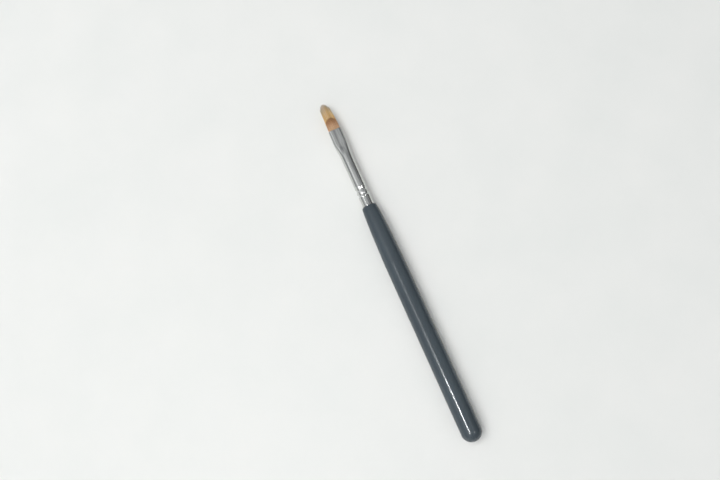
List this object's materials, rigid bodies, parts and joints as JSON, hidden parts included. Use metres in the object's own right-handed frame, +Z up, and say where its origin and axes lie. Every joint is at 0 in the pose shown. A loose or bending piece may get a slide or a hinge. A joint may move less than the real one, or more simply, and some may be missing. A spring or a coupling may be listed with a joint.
{
  "type": "nail brush",
  "caption": "Slim nail-art brush: black turned handle, crimped metal ferrule pressed flat at its mouth, short dense hair and a long gapped comb tip.",
  "frame": {"origin": "on the surface that the brush lies on, under the middle of its length", "axes": "+X along the brush towards the hair tip, +Y across the flat side of the hair, +Z up, out of the flat side of the hair"},
  "size_m": [0.1524, 0.0086, 0.0085],
  "materials": {
    "handle_lacquer": "gloss black lacquer on turned wood",
    "ferrule_metal": "bright drawn tube",
    "cured_adhesive": "cured amber resin",
    "binding_thread": "fine waxed thread",
    "short_hair": "red-brown synthetic filament",
    "long_hair": "golden synthetic filament"
  },
  "bodies": {
    "root": {"handle": "handle_lacquer", "tenon_adhesive": "cured_adhesive", "ferrule": "ferrule_metal", "root_adhesive": "cured_adhesive", "binding_thread": "binding_thread", "short_hair_upper": "short_hair", "short_hair_lower": "short_hair", "comb_tuft_1": "long_hair", "comb_tuft_2": "long_hair", "comb_tuft_3": "long_hair", "comb_tuft_4": "long_hair", "comb_tuft_5": "long_hair", "comb_tuft_6": "long_hair", "comb_tuft_7": "long_hair"}
  },
  "joints": []
}
